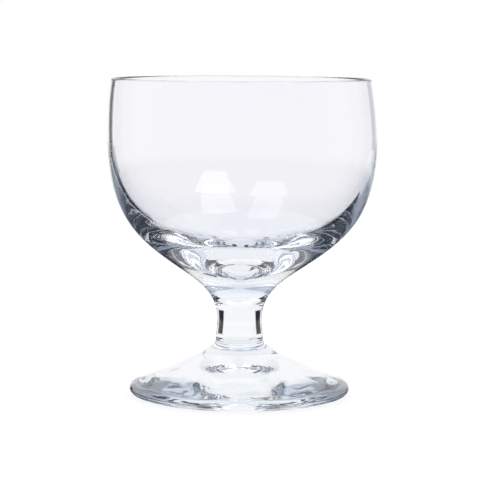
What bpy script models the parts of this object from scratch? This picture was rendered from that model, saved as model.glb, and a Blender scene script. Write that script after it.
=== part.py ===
"""Stemmed sake cup in clear glass.

The cup is drawn as one flowing outline about the +Z axis, from the lip down to the ring that it rests on.
The outline is cut across at the two places where the hot glass was stuck together, and each length is
turned into a solid: the bowl, the stem and the foot. The table is z = 0. Lengths are in metres.
"""

import math
from collections import namedtuple

import bmesh
import bpy
from mathutils import Vector
from mathutils.geometry import interpolate_bezier

# Heights of the three pieces, stacked from the table up
FOOT_HEIGHT = 0.0126
STEM_LENGTH = 0.0096
BOWL_HEIGHT = 0.0558
JOIN_GAP = 0.0003

# Mouth of the bowl
RIM_DIAMETER = 0.0638
LIP_THICKNESS = 0.0012
LIP_LEAN = 10.8

# Outside of the bowl
BELLY_DIAMETER = 0.0661
BELLY_BELOW_RIM = 0.0145
UNDERSIDE_DIAMETER = 0.0275
UNDERSIDE_RISE = 0.0084
UNDERSIDE_SLOPE = 34.0

# Inside of the bowl: a thin wall round a shallow, nearly conical dish, over a heavy base
WALL_THICKNESS = 0.0012
BASE_THICKNESS = 0.0101
DISH_DIAMETER = 0.0380
DISH_DEPTH = 0.0070
DISH_SLOPE = 26.0

# Stem: waisted below the bowl, a little wider where it meets the foot
WAIST_DIAMETER = 0.0110
WAIST_BELOW_BOWL = 0.0036
COLLAR_DIAMETER = 0.0117
COLLAR_RISE = 0.0010

# Foot: a low cone with a rounded edge, on a flat ring round a hollowed underside
FOOT_DIAMETER = 0.0543
FOOT_EDGE_HEIGHT = 0.0017
SHOULDER_DIAMETER = 0.0498
SHOULDER_HEIGHT = 0.0032
FOOT_SLOPE = 21.5
REST_RING_DIAMETER = 0.0490
REST_RING_WIDTH = 0.0015
HOLLOW_DEPTH = 0.0051
HOLLOW_SLOPE = 10.5

# How far a curve holds to the heading at its end, as a share of the straight line between its ends
ROUND_PULL = 0.39
LIP_PULL = 0.16
BELLY_PULL = 0.53
UNDERSIDE_PULL_UP = 0.35
UNDERSIDE_PULL_DOWN = 0.44
WAIST_PULL = 0.37
COLLAR_PULL = 0.115
SHOULDER_PULL = 0.46
DISH_MIDDLE_PULL = 0.17
DISH_EDGE_PULL = 0.28
INNER_WALL_PULL_DOWN = 0.41
INNER_WALL_PULL_UP = 0.32
HOLLOW_EDGE_PULL = 0.60
HOLLOW_MIDDLE_PULL = 0.50

# Fineness of the turned surfaces
SEGMENTS = 64
STRETCH_POINTS = 8
POINT_SPACING = 0.003
SHARP_ANGLE = 40.0
WELD_DISTANCE = 0.000001

# Colourless glass with a faint cool cast
GLASS_COLOUR = (0.93, 0.95, 0.97, 1.0)
GLASS_ROUGHNESS = 0.03
GLASS_IOR = 1.52

# Headings of travel along an outline, in degrees from straight outwards, turning upwards
OUTWARDS = 0.0
UPWARDS = 90.0
INWARDS = 180.0
DOWNWARDS = -90.0

STEM_TOP = FOOT_HEIGHT + STEM_LENGTH
CUP_HEIGHT = STEM_TOP + BOWL_HEIGHT
BELLY_HEIGHT = CUP_HEIGHT - BELLY_BELOW_RIM

Knot = namedtuple("Knot", "radius height heading arrive leave", defaults=(ROUND_PULL, ROUND_PULL))


def heading_vector(degrees):
    """Unit vector of a heading in the plane of radius and height."""
    angle = math.radians(degrees)
    return Vector((math.cos(angle), math.sin(angle)))


def smooth_line(knots):
    """Points of a smooth line that passes each knot along the knot's own heading."""
    line = [Vector((knots[0].radius, knots[0].height))]
    for knot, following in zip(knots, knots[1:]):
        start = Vector((knot.radius, knot.height))
        end = Vector((following.radius, following.height))
        span = (end - start).length
        start_handle = start + heading_vector(knot.heading) * knot.leave * span
        end_handle = end - heading_vector(following.heading) * following.arrive * span
        points = max(STRETCH_POINTS, math.ceil(span / POINT_SPACING))
        line += interpolate_bezier(start, start_handle, end_handle, end, points)[1:]
    return line


def lip_point(degrees):
    """Radius and height on the round of the lip, where its surface faces the given heading."""
    lip_radius = LIP_THICKNESS / 2
    centre = Vector((RIM_DIAMETER / 2 - lip_radius, CUP_HEIGHT - lip_radius))
    return centre + heading_vector(degrees) * lip_radius


def inside_line():
    """Inside of the bowl, from the middle of the dish up the wall and over the lip."""
    dish_height = STEM_TOP + BASE_THICKNESS
    inner_lip = lip_point(LIP_LEAN + INWARDS)
    top_lip = lip_point(UPWARDS)
    outer_lip = lip_point(LIP_LEAN)
    return smooth_line([
        Knot(0.0, dish_height, OUTWARDS, leave=DISH_MIDDLE_PULL),
        Knot(DISH_DIAMETER / 2, dish_height + DISH_DEPTH, DISH_SLOPE,
             arrive=DISH_EDGE_PULL, leave=INNER_WALL_PULL_DOWN),
        Knot(BELLY_DIAMETER / 2 - WALL_THICKNESS, BELLY_HEIGHT, UPWARDS, arrive=INNER_WALL_PULL_UP),
        Knot(*inner_lip, UPWARDS + LIP_LEAN, arrive=LIP_PULL),
        Knot(*top_lip, OUTWARDS),
        Knot(*outer_lip, DOWNWARDS + LIP_LEAN),
    ])


def outside_line():
    """Outside of the whole cup, from the lip down to the outer edge of the resting ring."""
    return smooth_line([
        Knot(*lip_point(LIP_LEAN), DOWNWARDS + LIP_LEAN, leave=LIP_PULL),
        Knot(BELLY_DIAMETER / 2, BELLY_HEIGHT, DOWNWARDS, leave=BELLY_PULL),
        Knot(UNDERSIDE_DIAMETER / 2, STEM_TOP + UNDERSIDE_RISE, INWARDS + UNDERSIDE_SLOPE,
             arrive=UNDERSIDE_PULL_UP, leave=UNDERSIDE_PULL_DOWN),
        Knot(WAIST_DIAMETER / 2, STEM_TOP - WAIST_BELOW_BOWL, DOWNWARDS, arrive=WAIST_PULL),
        Knot(COLLAR_DIAMETER / 2, FOOT_HEIGHT + COLLAR_RISE, DOWNWARDS, leave=COLLAR_PULL),
        Knot(SHOULDER_DIAMETER / 2, SHOULDER_HEIGHT, -FOOT_SLOPE, arrive=SHOULDER_PULL),
        Knot(FOOT_DIAMETER / 2, FOOT_EDGE_HEIGHT, DOWNWARDS),
        Knot(REST_RING_DIAMETER / 2, 0.0, INWARDS),
    ])


def hollow_line():
    """Underside of the foot, from the inner edge of the resting ring up to the middle of the hollow."""
    return smooth_line([
        Knot(REST_RING_DIAMETER / 2 - REST_RING_WIDTH, 0.0, INWARDS - HOLLOW_SLOPE, leave=HOLLOW_EDGE_PULL),
        Knot(0.0, HOLLOW_DEPTH, INWARDS, arrive=HOLLOW_MIDDLE_PULL),
    ])


def crossing(line, height):
    """Point where a falling line passes the given height."""
    for above, below in zip(line, line[1:]):
        if above.y >= height > below.y:
            return above.lerp(below, (above.y - height) / (above.y - below.y))
    raise ValueError("the outline does not reach this height")


def length_of(line, top, bottom):
    """The length of a falling line between two heights, with its ends cut level."""
    kept = [point for point in line if bottom < point.y < top]
    return [crossing(line, top)] + kept + [crossing(line, bottom)]


def clear_glass(name):
    """Material of one piece."""
    material = bpy.data.materials.new(name)
    material.use_nodes = True
    shader = material.node_tree.nodes["Principled BSDF"]
    shader.inputs["Base Color"].default_value = GLASS_COLOUR
    shader.inputs["Metallic"].default_value = 0.0
    shader.inputs["Roughness"].default_value = GLASS_ROUGHNESS
    shader.inputs["IOR"].default_value = GLASS_IOR
    shader.inputs["Transmission Weight"].default_value = 1.0
    material.diffuse_color = GLASS_COLOUR
    return material


def turned_piece(name, outline, base_height, parent):
    """Closed solid turned from an outline that starts and ends on the axis, standing at base_height."""
    shape = bmesh.new()
    points = [shape.verts.new((point.x, 0.0, point.y - base_height)) for point in outline]
    edges = [shape.edges.new(pair) for pair in zip(points, points[1:])]
    bmesh.ops.spin(shape, geom=points + edges, cent=(0.0, 0.0, 0.0), axis=(0.0, 0.0, 1.0),
                   angle=math.tau, steps=SEGMENTS, use_merge=True)
    bmesh.ops.remove_doubles(shape, verts=shape.verts, dist=WELD_DISTANCE)
    bmesh.ops.recalc_face_normals(shape, faces=shape.faces)
    mesh = bpy.data.meshes.new(name)
    shape.to_mesh(mesh)
    shape.free()
    mesh.shade_smooth()
    mesh.set_sharp_from_angle(angle=math.radians(SHARP_ANGLE))
    mesh.materials.append(clear_glass(name + "_glass"))
    piece = bpy.data.objects.new(name, mesh)
    piece.location.z = base_height
    piece.parent = parent
    bpy.context.scene.collection.objects.link(piece)
    return piece


def on_axis(height):
    """Point of the turning axis."""
    return Vector((0.0, height))


def build_bowl(outside, parent):
    """Bowl with its dished inside, rounded lip and flared base."""
    base = STEM_TOP + JOIN_GAP / 2
    outer_lip = lip_point(LIP_LEAN).y
    wall = length_of(outside, outer_lip, base)[1:]
    turned_piece("bowl", inside_line() + wall + [on_axis(base)], base, parent)


def build_stem(outside, parent):
    """Solid stem between its two joins."""
    top = STEM_TOP - JOIN_GAP / 2
    base = FOOT_HEIGHT + JOIN_GAP / 2
    turned_piece("stem", [on_axis(top)] + length_of(outside, top, base) + [on_axis(base)], base, parent)


def build_foot(outside, parent):
    """Solid foot from its join with the stem down to the hollow underneath."""
    top = FOOT_HEIGHT - JOIN_GAP / 2
    side = [crossing(outside, top)] + [point for point in outside if point.y < top]
    turned_piece("foot", [on_axis(top)] + side + hollow_line(), 0.0, parent)


def build_cup():
    """The three pieces under one empty on the table."""
    for old in list(bpy.data.objects):
        bpy.data.objects.remove(old)
    cup = bpy.data.objects.new("sake_cup", None)
    bpy.context.scene.collection.objects.link(cup)
    outside = outside_line()
    build_bowl(outside, cup)
    build_stem(outside, cup)
    build_foot(outside, cup)


build_cup()
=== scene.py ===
"""Looks of the stemmed sake cup: three pieces of clear glass in a white studio, seen as in the photograph.

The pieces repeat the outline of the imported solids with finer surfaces. The two joins are drawn as fused:
light passes straight through them from one piece into the next. Lengths are in metres, and +Z is up.
"""

import math
from collections import namedtuple

import bpy
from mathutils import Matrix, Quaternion, Vector, noise
from mathutils.geometry import interpolate_bezier


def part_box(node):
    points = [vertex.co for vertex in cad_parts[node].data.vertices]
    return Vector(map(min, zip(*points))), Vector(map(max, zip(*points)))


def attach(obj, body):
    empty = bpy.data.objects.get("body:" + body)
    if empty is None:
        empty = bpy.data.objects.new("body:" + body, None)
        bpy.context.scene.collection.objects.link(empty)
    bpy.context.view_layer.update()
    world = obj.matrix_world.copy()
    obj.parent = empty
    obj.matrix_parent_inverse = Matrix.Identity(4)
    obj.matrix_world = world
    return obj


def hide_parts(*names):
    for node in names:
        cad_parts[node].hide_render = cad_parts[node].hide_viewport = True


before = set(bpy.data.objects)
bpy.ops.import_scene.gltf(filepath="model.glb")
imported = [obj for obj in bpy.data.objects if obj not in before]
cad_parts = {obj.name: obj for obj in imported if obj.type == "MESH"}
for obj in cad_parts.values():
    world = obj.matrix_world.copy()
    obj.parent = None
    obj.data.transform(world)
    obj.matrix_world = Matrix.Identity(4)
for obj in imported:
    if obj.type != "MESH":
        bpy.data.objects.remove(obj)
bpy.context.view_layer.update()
bowl_low, bowl_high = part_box("bowl")
stem_low, stem_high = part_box("stem")
_, foot_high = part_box("foot")

# Heights of the rim and the two joins, from the solids
CUP_HEIGHT = bowl_high.z
STEM_TOP = (bowl_low.z + stem_high.z) / 2
FOOT_TOP = (stem_low.z + foot_high.z) / 2
FUSED_GAP = 0.000002

# Outside of the bowl
RIM_RADIUS = 0.0319
LIP_RADIUS = 0.0006
LIP_LEAN = 10.8
BELLY_RADIUS = bowl_high.x
BELLY_HEIGHT = CUP_HEIGHT - 0.0145
UNDERSIDE_RADIUS = 0.01375
UNDERSIDE_HEIGHT = STEM_TOP + 0.0084
UNDERSIDE_SLOPE = 34.0

# Inside of the bowl
WALL_THICKNESS = 0.0012
DISH_HEIGHT = STEM_TOP + 0.0101
DISH_RADIUS = 0.0190
DISH_DEPTH = 0.0070
DISH_SLOPE = 26.0

# Stem
WAIST_RADIUS = 0.0055
WAIST_HEIGHT = STEM_TOP - 0.0036
COLLAR_RADIUS = 0.00585
COLLAR_HEIGHT = FOOT_TOP + 0.0010

# Foot
FOOT_RADIUS = foot_high.x
FOOT_EDGE_HEIGHT = 0.0017
SHOULDER_RADIUS = 0.0249
SHOULDER_HEIGHT = 0.0032
FOOT_SLOPE = 21.5
REST_RING_OUTSIDE = 0.0245
REST_RING_INSIDE = 0.0230
HOLLOW_DEPTH = 0.0051
HOLLOW_SLOPE = 10.5

# How far a curve holds to the heading at its end, as a share of the straight line between its ends
ROUND_PULL = 0.39
LIP_PULL = 0.16
BELLY_PULL = 0.53
UNDERSIDE_PULL_UP = 0.35
UNDERSIDE_PULL_DOWN = 0.44
WAIST_PULL = 0.37
COLLAR_PULL = 0.115
SHOULDER_PULL = 0.46
DISH_MIDDLE_PULL = 0.17
DISH_EDGE_PULL = 0.28
INNER_WALL_PULL_DOWN = 0.41
INNER_WALL_PULL_UP = 0.32
HOLLOW_EDGE_PULL = 0.60
HOLLOW_MIDDLE_PULL = 0.50

# Fineness of the turned surfaces
SEGMENTS = 240
STRETCH_POINTS = 12
POINT_SPACING = 0.0006
SHARP_ANGLE = 40.0

# Hand-made shape: the belly leans a little to the right, and the thick glass is faintly wavy, most of all
# in the foot. The ring that the cup rests on stays flat.
BELLY_LEAN = 0.0005
RIM_LEAN = 0.0001
LEAN_FULL = 0.046
LEAN_LESS = 0.060
WAVE_HEIGHT = 0.000014
FOOT_WAVE_HEIGHT = 0.000045
FOOT_WAVY_BELOW = 0.007
FLAT_RING_HEIGHT = 0.0010
WAVES = 240.0
WAVE_SEED = 1
WAVY_BELOW = 0.044
SMOOTH_ABOVE = 0.054

# Headings of travel along an outline, in degrees from straight outwards, turning upwards
OUTWARDS = 0.0
UPWARDS = 90.0
INWARDS = 180.0
DOWNWARDS = -90.0

# Studio round the cup. The glass mirrors and bends a white room with dark flags and light strips in it.
# Azimuths run from straight behind the cup towards the right, and a pair of flags hangs at the same azimuth
# on both sides. Least and most say how often the light of a flag is mirrored on its way to the camera.
ROOM_WHITE = (1.0, 1.0, 1.0, 1.0)
ROOM_BEHIND_CAMERA = (0.82, 0.84, 0.88, 1.0)
TABLE_WHITE = (0.90, 0.91, 0.935, 1.0)
TABLE_SHADE = (0.06, 0.07, 0.09, 1.0)
DARK = (0.006, 0.008, 0.013, 1.0)
GREY = (0.580, 0.590, 0.620, 1.0)
STRIP_WHITE = (0.420, 0.470, 0.540, 1.0)
STRIP_GREY = (0.120, 0.140, 0.180, 1.0)
STRIP_BLUE = (0.400, 0.470, 0.560, 1.0)
FLAG_SOFTNESS = 1.0
Flag = namedtuple("Flag", "azimuth half_width elevation half_height least most colour softness",
                  defaults=(FLAG_SOFTNESS,))
OUTER_LINES = [
    Flag(-26.5, 6.5, 0.0, 7.5, 1, 1, DARK),
    Flag(-29.0, 9.0, -12.0, 6.0, 1, 1, DARK),
    Flag(27.0, 8.5, 0.0, 7.5, 1, 1, GREY),
]
WALL_LINES = [
    Flag(-26.5, 6.5, -16.0, 22.0, 1, 1, DARK),
    Flag(21.0, 9.0, -32.0, 9.0, 1, 1, DARK),
]
FLAG_PAIRS = [
    Flag(43.5, 10.5, 0.0, 30.0, 2, 4, DARK),
    Flag(70.0, 18.0, 0.0, 32.0, 2, 5, DARK),
    Flag(70.0, 18.0, -20.5, 13.5, 6, 40, DARK),
    Flag(112.0, 16.0, 0.0, 32.0, 2, 8, DARK),
    Flag(144.0, 14.0, 0.0, 50.0, 3, 8, DARK),
]
STRIP_PAIRS = [
    Flag(71.0, 8.0, 7.0, 4.0, 6, 8, DARK),
    Flag(38.0, 9.0, 2.0, 2.5, 5, 8, STRIP_GREY, 2.5),
    Flag(38.0, 9.0, 17.0, 4.0, 5, 8, STRIP_GREY, 4.0),
    Flag(47.0, 6.0, 8.0, 12.0, 5, 5, DARK, 2.5),
    Flag(48.0, 16.0, 47.0, 11.0, 5, 8, STRIP_BLUE, 5.0),
    Flag(90.0, 40.0, 14.0, 3.5, 6, 40, STRIP_WHITE, 3.5),
    Flag(90.0, 40.0, -4.0, 2.5, 6, 40, STRIP_WHITE, 2.5),
    Flag(101.0, 17.0, 8.0, 8.0, 9, 9, ROOM_WHITE),
    Flag(118.0, 8.0, 8.0, 10.0, 11, 11, ROOM_WHITE),
]
MIRROR_LOSS = (0.970, 0.977, 0.986)
LONG_WAY_TINT = (0.72, 0.785, 0.89, 1.0)
LONG_WAY_COLOURS = [(0.090, 0.115, 0.160, 1.0), (0.014, 0.017, 0.024, 1.0)]
LONGEST_WAY_COLOUR = (0.400, 0.450, 0.530, 1.0)
LONG_WAY_SHARE = 0.96

# Where each part of the room ends: the value where it is full, then the value where it is gone. The values
# are the height of a direction from -1 to 1, its angle in degrees, or how often the light is mirrored.
TABLE_HEIGHT = (-0.37, -0.20)
BEHIND_CAMERA_ANGLE = (75.0, 125.0)
SHADE_HEIGHT = (-0.20, -0.11)
SHADE_END_HEIGHT = (-0.71, -0.67)
SHADE_SIDE_ANGLE = (-9.0, -14.0)
NOT_UPWARDS_HEIGHT = (0.60, 0.82)
TINTED_MIRRORS = (8.0, 4.5)
LONG_WAY_MIRRORS = (8.5, 4.5)
LONG_WAY_ANGLE = (47.0, 42.0)
LONGEST_WAY_RIGHT = (156.0, 124.0)
LONGEST_WAY_LEFT = (-136.0, -114.0)
DARKER_END_MIRRORS = (9.0, 6.5)

# Limits that tell light apart: inside the glass, bent by both walls of the bowl, and mirrored at most once.
# The last one is how often light may bounce.
INSIDE_BENDS = 0.5
BOTH_WALLS_BENDS = 3.5
HARDLY_MIRRORED = 1.5
LIGHT_BOUNCES = 40

# Two softboxes above, on the camera's side, and the floor
Softbox = namedtuple("Softbox", "name place size turn strength")
SOFTBOXES = [
    Softbox("softbox_right", (0.55, -0.72, 1.05), (0.63, 1.08), 20.0, 3.2),
    Softbox("softbox_left", (-0.43, -0.39, 1.05), (0.53, 0.59), -20.0, 2.6),
]
FLOOR_SIZE = 8.0
FLOOR_HEIGHT = -0.0002
FLOOR_GLOW = 0.82
FLOOR_COLOUR = (0.22, 0.22, 0.22, 1.0)

# Glass: nearly colourless where it is thin, a little cooler where it is thick, in faint streaks and
# ripples, with painted shade: a dark band along both sides of the stem that stands in for the dark studio
# seen through its edges
THIN_GLASS = (0.971, 0.965, 0.987, 1.0)
THICK_GLASS = (0.962, 0.973, 0.990, 1.0)
THICK_BELOW = 0.036
THIN_ABOVE = 0.052
GLASS_IOR = 1.52
GLASS_SHEEN = 0.5
STREAKS = 160.0
STREAK_LIFT = 0.5
RIPPLES = (70.0, 70.0, 550.0)
RIPPLE_HEIGHT = 0.000026
RIPPLED_FOOT = (0.008, 0.012)
BASE_RIPPLES = 0.18
# Painted shade: colour, slant limits and heights of the dark band painted along each side of the stem
PAINTED_SHADE_GLASS = (0.0006, 0.0007, 0.0010, 1.0)
PAINTED_SHADE_INNER_EDGE = (0.33, 0.29)
PAINTED_SHADE_OUTER_EDGE = (0.60, 0.64)
PAINTED_SHADE_TOP = (0.0211, 0.0215)
PAINTED_SHADE_BOTTOM = (0.0155, 0.0151)

# Camera, as fitted to the photograph's outline of the cup
CAMERA_PLACE = Vector((0.0, -0.49598, 0.08929))
CAMERA_TARGET = Vector((0.0, 0.0, 0.03824))
CAMERA_ROLL = 0.3
CAMERA_NEAR = 0.01
SENSOR_WIDTH = 36.0
LENS = 151.7

Knot = namedtuple("Knot", "radius height heading arrive leave", defaults=(ROUND_PULL, ROUND_PULL))


def heading_vector(degrees):
    """Unit vector of a heading in the plane of radius and height."""
    angle = math.radians(degrees)
    return Vector((math.cos(angle), math.sin(angle)))


def smooth_line(knots):
    """Points of a smooth line that passes each knot along the knot's own heading."""
    line = [Vector((knots[0].radius, knots[0].height))]
    for knot, following in zip(knots, knots[1:]):
        start = Vector((knot.radius, knot.height))
        end = Vector((following.radius, following.height))
        span = (end - start).length
        start_handle = start + heading_vector(knot.heading) * knot.leave * span
        end_handle = end - heading_vector(following.heading) * following.arrive * span
        points = max(STRETCH_POINTS, math.ceil(span / POINT_SPACING))
        line += interpolate_bezier(start, start_handle, end_handle, end, points)[1:]
    return line


def lip_point(degrees):
    """Radius and height on the round of the lip, where its surface faces the given heading."""
    centre = Vector((RIM_RADIUS - LIP_RADIUS, CUP_HEIGHT - LIP_RADIUS))
    return centre + heading_vector(degrees) * LIP_RADIUS


def inside_line():
    """Inside of the bowl, from the middle of the dish up the wall and over the lip."""
    return smooth_line([
        Knot(0.0, DISH_HEIGHT, OUTWARDS, leave=DISH_MIDDLE_PULL),
        Knot(DISH_RADIUS, DISH_HEIGHT + DISH_DEPTH, DISH_SLOPE,
             arrive=DISH_EDGE_PULL, leave=INNER_WALL_PULL_DOWN),
        Knot(BELLY_RADIUS - WALL_THICKNESS, BELLY_HEIGHT, UPWARDS, arrive=INNER_WALL_PULL_UP),
        Knot(*lip_point(LIP_LEAN + INWARDS), UPWARDS + LIP_LEAN, arrive=LIP_PULL),
        Knot(*lip_point(UPWARDS), OUTWARDS),
        Knot(*lip_point(LIP_LEAN), DOWNWARDS + LIP_LEAN),
    ])


def outside_line():
    """Outside of the whole cup, from the lip down to the outer edge of the resting ring."""
    return smooth_line([
        Knot(*lip_point(LIP_LEAN), DOWNWARDS + LIP_LEAN, leave=LIP_PULL),
        Knot(BELLY_RADIUS, BELLY_HEIGHT, DOWNWARDS, leave=BELLY_PULL),
        Knot(UNDERSIDE_RADIUS, UNDERSIDE_HEIGHT, INWARDS + UNDERSIDE_SLOPE,
             arrive=UNDERSIDE_PULL_UP, leave=UNDERSIDE_PULL_DOWN),
        Knot(WAIST_RADIUS, WAIST_HEIGHT, DOWNWARDS, arrive=WAIST_PULL),
        Knot(COLLAR_RADIUS, COLLAR_HEIGHT, DOWNWARDS, leave=COLLAR_PULL),
        Knot(SHOULDER_RADIUS, SHOULDER_HEIGHT, -FOOT_SLOPE, arrive=SHOULDER_PULL),
        Knot(FOOT_RADIUS, FOOT_EDGE_HEIGHT, DOWNWARDS),
        Knot(REST_RING_OUTSIDE, 0.0, INWARDS),
    ])


def hollow_line():
    """Underside of the foot, from the inner edge of the resting ring up to the middle of the hollow."""
    return smooth_line([
        Knot(REST_RING_INSIDE, 0.0, INWARDS - HOLLOW_SLOPE, leave=HOLLOW_EDGE_PULL),
        Knot(0.0, HOLLOW_DEPTH, INWARDS, arrive=HOLLOW_MIDDLE_PULL),
    ])


def crossing(line, height):
    """Point where a falling line passes the given height."""
    for above, below in zip(line, line[1:]):
        if above.y >= height > below.y:
            return above.lerp(below, (above.y - height) / (above.y - below.y))
    raise ValueError("the outline does not reach this height")


def length_of(line, top, bottom):
    """The length of a falling line between two heights, with its ends cut level."""
    kept = [point for point in line if bottom < point.y < top]
    return [crossing(line, top)] + kept + [crossing(line, bottom)]


def node(tree, kind, settings=None, **values):
    """New shader node. Settings are properties of the node. A value goes to the input of that name, or by
    number with a leading underscore; it is a plain value or the output of another node."""
    made = tree.nodes.new(kind)
    for name, setting in (settings or {}).items():
        setattr(made, name, setting)
    for name, value in values.items():
        key = int(name[1:]) if name.startswith("_") else name.replace("_", " ")
        socket = made.inputs[key]
        if isinstance(value, bpy.types.NodeSocket):
            tree.links.new(value, socket)
        else:
            socket.default_value = value
    return made


def math_node(tree, operation, *values):
    """Result of one sum on numbers or outputs."""
    inputs = {f"_{place}": value for place, value in enumerate(values)}
    return node(tree, "ShaderNodeMath", {"operation": operation}, **inputs).outputs[0]


def fade(tree, value, full, gone):
    """1 at the value full and on its far side, and 0 at the value gone and on its far side."""
    return node(tree, "ShaderNodeMapRange", {"interpolation_type": "SMOOTHSTEP"}, Value=value,
                From_Min=full, From_Max=gone, To_Min=1.0, To_Max=0.0).outputs[0]


def product(tree, first, second):
    """Product of two numbers or outputs."""
    return math_node(tree, "MULTIPLY", first, second)


def times(tree, first, second):
    """Product of two colours or places, part by part."""
    return node(tree, "ShaderNodeVectorMath", {"operation": "MULTIPLY"}, _0=first, _1=second).outputs[0]


def mix_colour(tree, factor, first, second):
    """Colour between two colours."""
    return node(tree, "ShaderNodeMix", {"data_type": "RGBA"}, _0=factor, _6=first, _7=second).outputs[2]


def clear_glass():
    """Nearly colourless glass, cooler in streaks where it is thick and faintly rippled there. Along each
    side of the stem a dark upright band of painted shade, standing in for the dark studio seen through the
    stem's edges, is painted into the colour, and the sheen is taken away there."""
    material = bpy.data.materials.new("clear_glass")
    material.use_nodes = True
    tree = material.node_tree
    shader = tree.nodes["Principled BSDF"]
    place = node(tree, "ShaderNodeTexCoord").outputs["Object"]
    height = node(tree, "ShaderNodeSeparateXYZ", Vector=place).outputs["Z"]
    streaks = node(tree, "ShaderNodeTexNoise", Vector=place, Scale=STREAKS).outputs[0]
    thick = fade(tree, height, THICK_BELOW, THIN_ABOVE)
    cool = product(tree, thick, math_node(tree, "ADD", streaks, STREAK_LIFT))
    colour = mix_colour(tree, cool, THIN_GLASS, THICK_GLASS)

    # Painted shade: where the stem's surface is seen at a slant, its colour turns dark and its sheen is
    # taken away
    facing = node(tree, "ShaderNodeLayerWeight", Blend=0.5).outputs["Facing"]
    side = product(tree, fade(tree, facing, *PAINTED_SHADE_INNER_EDGE), fade(tree, facing, *PAINTED_SHADE_OUTER_EDGE))
    side = product(tree, side, fade(tree, height, *PAINTED_SHADE_TOP))
    side = product(tree, side, fade(tree, height, *PAINTED_SHADE_BOTTOM))
    tree.links.new(mix_colour(tree, side, colour, PAINTED_SHADE_GLASS), shader.inputs["Base Color"])
    sheen = math_node(tree, "SUBTRACT", GLASS_SHEEN, product(tree, side, GLASS_SHEEN))
    tree.links.new(sheen, shader.inputs["Specular IOR Level"])

    stretched = times(tree, place, RIPPLES)
    ripples = node(tree, "ShaderNodeTexNoise", Vector=stretched, Scale=1.0, Detail=1.0).outputs[0]
    in_foot = fade(tree, height, *RIPPLED_FOOT)
    strength = product(tree, thick, math_node(tree, "MAXIMUM", in_foot, BASE_RIPPLES))
    bump = node(tree, "ShaderNodeBump", Height=ripples, Strength=strength, Distance=RIPPLE_HEIGHT)
    tree.links.new(bump.outputs[0], shader.inputs["Normal"])
    shader.inputs["Roughness"].default_value = 0.0
    shader.inputs["IOR"].default_value = GLASS_IOR
    shader.inputs["Transmission Weight"].default_value = 1.0
    return material


def fused_join():
    """Join inside the glass, where light goes straight on."""
    material = bpy.data.materials.new("fused_join")
    material.use_nodes = True
    tree = material.node_tree
    tree.nodes.clear()
    clear = node(tree, "ShaderNodeBsdfTransparent")
    node(tree, "ShaderNodeOutputMaterial", Surface=clear.outputs["BSDF"])
    return material


def ease(value, low, high):
    """0 up to the value low, and 1 from the value high on."""
    share = min(max((value - low) / (high - low), 0.0), 1.0)
    return share * share * (3.0 - 2.0 * share)


def hand_made(place):
    """A place on the true round shape, moved to where it is on the hand-made one."""
    lean = BELLY_LEAN * ease(place.z, STEM_TOP, LEAN_FULL)
    lean += (RIM_LEAN - BELLY_LEAN) * ease(place.z, LEAN_LESS, CUP_HEIGHT)
    wave = FOOT_WAVE_HEIGHT + (WAVE_HEIGHT - FOOT_WAVE_HEIGHT) * ease(place.z, FOOT_WAVY_BELOW, FOOT_TOP)
    wave *= ease(place.z, 0.0, FLAT_RING_HEIGHT) * (1.0 - ease(place.z, WAVY_BELOW, SMOOTH_ABOVE))
    return place + Vector((lean, 0.0, 0.0)) + wave * noise.noise_vector(place * WAVES)


def turned_piece(name, outline, materials, joins):
    """Glass piece turned from an outline that starts and ends on the axis. Its level faces at the heights
    of the joins are clear."""
    first, last = outline[0], outline[-1]
    vertices = [Vector((0.0, 0.0, first.y))]
    for point in outline[1:-1]:
        for step in range(SEGMENTS):
            angle = math.tau * step / SEGMENTS
            vertices.append(Vector((point.x * math.cos(angle), point.x * math.sin(angle), point.y)))
    vertices.append(Vector((0.0, 0.0, last.y)))
    end = len(vertices) - 1
    last_ring = end - SEGMENTS
    faces = []
    for step in range(SEGMENTS):
        onwards = (step + 1) % SEGMENTS
        faces.append((0, 1 + step, 1 + onwards))
        for ring in range(1, last_ring, SEGMENTS):
            faces.append((ring + step, ring + SEGMENTS + step, ring + SEGMENTS + onwards, ring + onwards))
        faces.append((last_ring + step, end, last_ring + onwards))
    mesh = bpy.data.meshes.new(name)
    mesh.from_pydata([hand_made(place) for place in vertices], [], faces)
    for material in materials:
        mesh.materials.append(material)
    for face in mesh.polygons:
        heights = [vertices[corner].z for corner in face.vertices]
        if any(max(abs(height - join) for height in heights) < FUSED_GAP for join in joins):
            face.material_index = 1
    mesh.shade_smooth()
    mesh.set_sharp_from_angle(angle=math.radians(SHARP_ANGLE))
    piece = bpy.data.objects.new(name, mesh)
    bpy.context.scene.collection.objects.link(piece)
    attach(piece, "root")
    return piece


def build_cup():
    """The three glass pieces in the places of the three solids."""
    materials = [clear_glass(), fused_join()]
    outside = outside_line()
    half_gap = FUSED_GAP / 2
    bowl_base = STEM_TOP + half_gap
    stem_top = STEM_TOP - half_gap
    stem_base = FOOT_TOP + half_gap
    foot_top = FOOT_TOP - half_gap
    wall = length_of(outside, lip_point(LIP_LEAN).y, bowl_base)[1:]
    bowl_line = inside_line() + wall + [Vector((0.0, bowl_base))]
    bowl = turned_piece("glass_bowl", bowl_line, materials, [STEM_TOP])
    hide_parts("bowl")
    side = length_of(outside, stem_top, stem_base)
    stem_line = [Vector((0.0, stem_top))] + side + [Vector((0.0, stem_base))]
    stem = turned_piece("glass_stem", stem_line, materials, [STEM_TOP, FOOT_TOP])
    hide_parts("stem")
    cone = [crossing(outside, foot_top)] + [point for point in outside if point.y < foot_top]
    foot_line = [Vector((0.0, foot_top))] + cone + hollow_line()
    foot = turned_piece("glass_foot", foot_line, materials, [FOOT_TOP])
    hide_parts("foot")


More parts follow.
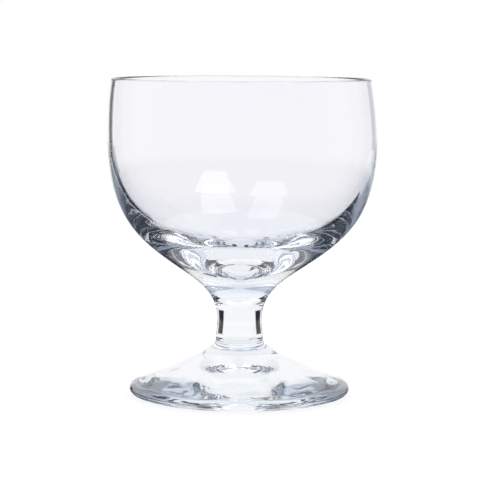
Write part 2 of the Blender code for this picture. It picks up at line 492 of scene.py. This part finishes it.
def hang(tree, colour, flags, azimuth, elevation, mirrored, seen):
    """Colour of the room with flags hung in it, where the factor seen is 1."""
    for flag in flags:
        shown = seen
        for angle, middle, half in ((azimuth, flag.azimuth, flag.half_width),
                                    (elevation, flag.elevation, flag.half_height)):
            aside = math_node(tree, "ABSOLUTE", math_node(tree, "SUBTRACT", angle, middle))
            shown = product(tree, shown, fade(tree, aside, half - flag.softness, half))
        enough = math_node(tree, "GREATER_THAN", mirrored, flag.least - 0.5)
        few = math_node(tree, "LESS_THAN", mirrored, flag.most + 0.5)
        shown = product(tree, shown, product(tree, enough, few))
        colour = mix_colour(tree, shown, colour, flag.colour)
    return colour


def build_world():
    """White room with flags and strips. The camera itself sees plain white, and a view straight through
    both walls of the bowl, which four faces bend and at most one mirrors, sees no flag. The outside of the
    glass mirrors a shaded table where it faces down. Light that the thick glass mirrors many times is
    dimmer and cooler."""
    world = bpy.data.worlds.new("studio")
    bpy.context.scene.world = world
    world.use_nodes = True
    tree = world.node_tree
    tree.nodes.clear()
    direction = node(tree, "ShaderNodeTexCoord").outputs["Generated"]
    x, y, z = node(tree, "ShaderNodeSeparateXYZ", Vector=direction).outputs
    azimuth = math_node(tree, "DEGREES", math_node(tree, "ARCTAN2", x, y))
    elevation = math_node(tree, "DEGREES", math_node(tree, "ARCSINE", z))
    turned = math_node(tree, "ABSOLUTE", azimuth)
    path = node(tree, "ShaderNodeLightPath").outputs
    mirrored = path["Glossy Depth"]
    bent = path["Transmission Depth"]
    inside = math_node(tree, "GREATER_THAN", bent, INSIDE_BENDS)

    white = mix_colour(tree, fade(tree, z, *TABLE_HEIGHT), ROOM_WHITE, TABLE_WHITE)
    colour = mix_colour(tree, fade(tree, turned, *BEHIND_CAMERA_ANGLE), ROOM_BEHIND_CAMERA, white)
    colour = hang(tree, colour, OUTER_LINES, azimuth, elevation, mirrored, 1.0)
    colour = hang(tree, colour, WALL_LINES, azimuth, elevation, mirrored, inside)
    colour = hang(tree, colour, FLAG_PAIRS, turned, elevation, mirrored, inside)
    downwards = math_node(tree, "SUBTRACT", fade(tree, z, *SHADE_HEIGHT), fade(tree, z, *SHADE_END_HEIGHT))
    under_cup = math_node(tree, "SUBTRACT", downwards, product(tree, downwards, inside))
    sideways = fade(tree, math_node(tree, "ADD", turned, elevation), *SHADE_SIDE_ANGLE)
    colour = mix_colour(tree, product(tree, under_cup, sideways), colour, TABLE_SHADE)
    through_walls = math_node(tree, "GREATER_THAN", bent, BOTH_WALLS_BENDS)
    hardly_mirrored = math_node(tree, "LESS_THAN", mirrored, HARDLY_MIRRORED)
    colour = mix_colour(tree, product(tree, through_walls, hardly_mirrored), colour, white)

    losses = [math_node(tree, "POWER", loss, mirrored) for loss in MIRROR_LOSS]
    loss = node(tree, "ShaderNodeCombineXYZ", X=losses[0], Y=losses[1], Z=losses[2]).outputs[0]
    colour = times(tree, colour, loss)
    not_upwards = fade(tree, z, *NOT_UPWARDS_HEIGHT)
    tinted = product(tree, not_upwards, fade(tree, mirrored, *TINTED_MIRRORS))
    colour = times(tree, colour, mix_colour(tree, tinted, ROOM_WHITE, LONG_WAY_TINT))
    long_way = product(tree, not_upwards, fade(tree, mirrored, *LONG_WAY_MIRRORS))
    long_way = product(tree, long_way, fade(tree, turned, *LONG_WAY_ANGLE))
    end_colour = mix_colour(tree, fade(tree, mirrored, *DARKER_END_MIRRORS), *LONG_WAY_COLOURS)
    to_right = fade(tree, azimuth, *LONGEST_WAY_RIGHT)
    to_left = fade(tree, azimuth, *LONGEST_WAY_LEFT)
    round_back = math_node(tree, "MAXIMUM", to_right, to_left)
    end_colour = mix_colour(tree, round_back, end_colour, LONGEST_WAY_COLOUR)
    colour = mix_colour(tree, product(tree, LONG_WAY_SHARE, long_way), colour, end_colour)
    colour = hang(tree, colour, STRIP_PAIRS, turned, elevation, mirrored, inside)

    plain = math_node(tree, "MAXIMUM", path["Is Camera Ray"], path["Is Diffuse Ray"])
    colour = mix_colour(tree, plain, colour, ROOM_WHITE)
    background = node(tree, "ShaderNodeBackground", Color=colour, Strength=1.0)
    node(tree, "ShaderNodeOutputWorld", Surface=background.outputs["Background"])


def flat_panel(name, place, size, turn, material):
    """Level rectangle of the studio."""
    half_x, half_y = size[0] / 2, size[1] / 2
    mesh = bpy.data.meshes.new(name)
    front = [(-half_x, -half_y, 0.0), (half_x, -half_y, 0.0)]
    back = [(half_x, half_y, 0.0), (-half_x, half_y, 0.0)]
    mesh.from_pydata(front + back, [], [(0, 1, 2, 3)])
    mesh.materials.append(material)
    panel = bpy.data.objects.new(name, mesh)
    panel.location = place
    panel.rotation_euler.z = math.radians(turn)
    bpy.context.scene.collection.objects.link(panel)
    return panel


def build_floor():
    """White floor, which the room lights and which also glows, so that only the contact shade is grey. The
    glass looks through it at the room, as if the table mirrored the room."""
    material = bpy.data.materials.new("white_floor")
    material.use_nodes = True
    tree = material.node_tree
    tree.nodes.clear()
    matt = node(tree, "ShaderNodeBsdfDiffuse", Color=FLOOR_COLOUR)
    glow = node(tree, "ShaderNodeEmission", Strength=FLOOR_GLOW)
    lit = node(tree, "ShaderNodeAddShader", _0=matt.outputs[0], _1=glow.outputs[0])
    node(tree, "ShaderNodeOutputMaterial", Surface=lit.outputs[0])
    floor = flat_panel("floor", (0.0, 0.0, FLOOR_HEIGHT), (FLOOR_SIZE, FLOOR_SIZE), 0.0, material)
    floor.visible_transmission = False
    floor.visible_glossy = False


def build_softbox(softbox):
    """Glowing panel that only the glass mirrors."""
    material = bpy.data.materials.new(softbox.name)
    material.use_nodes = True
    tree = material.node_tree
    tree.nodes.clear()
    glow = node(tree, "ShaderNodeEmission", Strength=softbox.strength)
    node(tree, "ShaderNodeOutputMaterial", Surface=glow.outputs[0])
    panel = flat_panel(softbox.name, softbox.place, softbox.size, softbox.turn, material)
    panel.visible_camera = False
    panel.visible_diffuse = False
    panel.visible_shadow = False


def build_camera():
    """Camera at the photograph's viewing angle."""
    camera = bpy.data.objects.new("camera", bpy.data.cameras.new("camera"))
    bpy.context.scene.collection.objects.link(camera)
    camera.location = CAMERA_PLACE
    aim = (CAMERA_TARGET - CAMERA_PLACE).to_track_quat("-Z", "Y")
    roll = Quaternion((0.0, 0.0, 1.0), math.radians(CAMERA_ROLL))
    camera.rotation_euler = (aim @ roll).to_euler()
    camera.data.sensor_width = SENSOR_WIDTH
    camera.data.lens = LENS
    camera.data.clip_start = CAMERA_NEAR
    bpy.context.scene.camera = camera


noise.seed_set(WAVE_SEED)
build_cup()
build_world()
build_floor()
for softbox in SOFTBOXES:
    build_softbox(softbox)
build_camera()

scene = bpy.context.scene
scene.view_settings.view_transform = "Standard"
scene.cycles.max_bounces = LIGHT_BOUNCES
scene.cycles.transmission_bounces = LIGHT_BOUNCES
scene.cycles.glossy_bounces = LIGHT_BOUNCES
scene.cycles.transparent_max_bounces = LIGHT_BOUNCES
